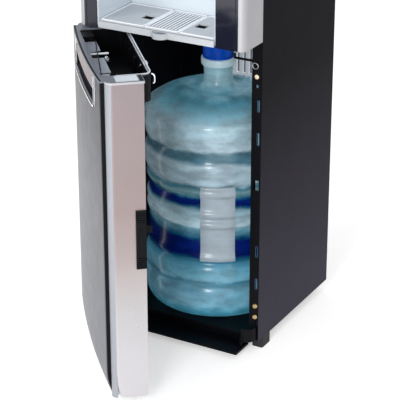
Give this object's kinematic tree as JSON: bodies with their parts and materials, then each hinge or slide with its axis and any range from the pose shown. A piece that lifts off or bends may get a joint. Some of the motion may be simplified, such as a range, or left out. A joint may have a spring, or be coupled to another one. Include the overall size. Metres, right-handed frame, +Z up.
{
  "type": "bottom load water cooler",
  "caption": "Tall water cooler with a bottle behind its swinging front door, a dispensing alcove with a removable drip tray, push buttons and rear switches.",
  "frame": {"origin": "on the base pan's flat underside, midway between the side panels, in the plane of the cabinet's front", "axes": "+Z up, +X to the right as seen from the front, -Y to the front"},
  "size_m": [0.3315, 0.5835, 1.088],
  "materials": {
    "black_steel": "satin",
    "black_plastic": "matte",
    "gloss_black": "gloss",
    "silver_plastic": "satin metallic",
    "stainless": "brushed vertically",
    "rose_steel": "brushed",
    "chrome": "polished",
    "grey_plastic": "satin",
    "white_plastic": "satin",
    "pale_plastic": "satin",
    "brass": "plated",
    "blue_plastic": "gloss",
    "red_plastic": "gloss",
    "bottle_plastic": "frosted translucent",
    "rubber": "matte",
    "hose_plastic": "smooth",
    "copper": "bright copper tube",
    "zinc": "zinc plated",
    "board_green": "lacquered circuit board"
  },
  "bodies": {
    "cabinet": {"base_pan": "black_steel", "foot_front_left": "rubber", "foot_front_right": "rubber", "foot_rear_left": "rubber", "foot_rear_right": "rubber", "bottle_tray": "black_plastic", "side_panel_left": "black_steel", "side_panel_right": "black_steel", "rear_panel": "black_steel", "top_cover": "black_plastic", "door_jamb_left": "black_plastic", "door_jamb_right": "black_plastic", "jamb_screw_upper": "brass", "jamb_screw_lower": "brass", "compartment_deck": "black_plastic", "rear_vent_grille": "pale_plastic", "probe_hanger": "black_plastic", "bottle": "bottle_plastic", "bottle_cap": "blue_plastic", "probe": "pale_plastic", "probe_hose": "hose_plastic", "hinge_lower": "zinc", "hinge_upper": "zinc", "fascia_side_left": "silver_plastic", "fascia_side_right": "silver_plastic", "fascia_column_left": "gloss_black", "fascia_column_right": "gloss_black", "alcove_liner": "white_plastic", "spigot_cold": "pale_plastic", "spigot_hot": "pale_plastic", "control_panel": "gloss_black", "control_board": "board_green", "tank_shelf": "zinc", "cold_tank": "pale_plastic", "hot_tank": "stainless", "compressor": "black_steel", "pump": "pale_plastic", "pipe_cold": "copper", "pipe_hot": "copper", "condenser": "black_steel", "power_inlet": "rubber"},
    "door": {"door_front_panel": "stainless", "door_edge_trim_left": "silver_plastic", "door_edge_trim_right": "silver_plastic", "door_frame": "black_plastic", "door_top_cap": "grey_plastic", "handle_trim": "chrome", "handle_scoop": "black_plastic", "grip_plate": "rose_steel", "pocket_tub": "black_plastic", "pocket_rim": "chrome", "latch_box": "black_plastic"},
    "latch_tongue": {"latch_tongue": "black_plastic"},
    "drip_tray": {"drip_tray": "white_plastic"},
    "drip_grille": {"drip_grille": "pale_plastic"},
    "button_cold": {"button_cold": "blue_plastic"},
    "button_hot": {"button_hot": "red_plastic"},
    "switch_cold": {"switch_cold": "red_plastic"},
    "switch_hot": {"switch_hot": "red_plastic"}
  },
  "joints": [
    {"name": "door_hinge", "type": "hinge", "parent": "cabinet", "child": "door", "pos_m": [-0.15, -0.042, 0.26], "axis": [0, 0, -1], "range_deg": [-49, 61]},
    {"name": "latch_tongue_push", "type": "slide", "parent": "door", "child": "latch_tongue", "axis": [-0.7547, -0.6561, 0], "range_m": [0, 0.003], "stiffness_N_per_m": 300, "springref_m": -0.002},
    {"name": "drip_tray_slide", "type": "slide", "parent": "cabinet", "child": "drip_tray", "axis": [0, -1, 0], "range_m": [0, 0.1]},
    {"name": "drip_grille_lift", "type": "slide", "parent": "drip_tray", "child": "drip_grille", "axis": [0, 0, 1], "range_m": [0, 0.08]},
    {"name": "button_cold_press", "type": "slide", "parent": "cabinet", "child": "button_cold", "axis": [0, 1, 0], "range_m": [0, 0.004], "stiffness_N_per_m": 400, "springref_m": -0.002},
    {"name": "button_hot_press", "type": "slide", "parent": "cabinet", "child": "button_hot", "axis": [0, 1, 0], "range_m": [0, 0.004], "stiffness_N_per_m": 400, "springref_m": -0.002},
    {"name": "switch_cold_rock", "type": "hinge", "parent": "cabinet", "child": "switch_cold", "pos_m": [-0.015, 0.2835, 1.003], "axis": [-1, 0, 0], "range_deg": [0, 17]},
    {"name": "switch_hot_rock", "type": "hinge", "parent": "cabinet", "child": "switch_hot", "pos_m": [0.015, 0.2835, 1.003], "axis": [-1, 0, 0], "range_deg": [0, 17]}
  ]
}
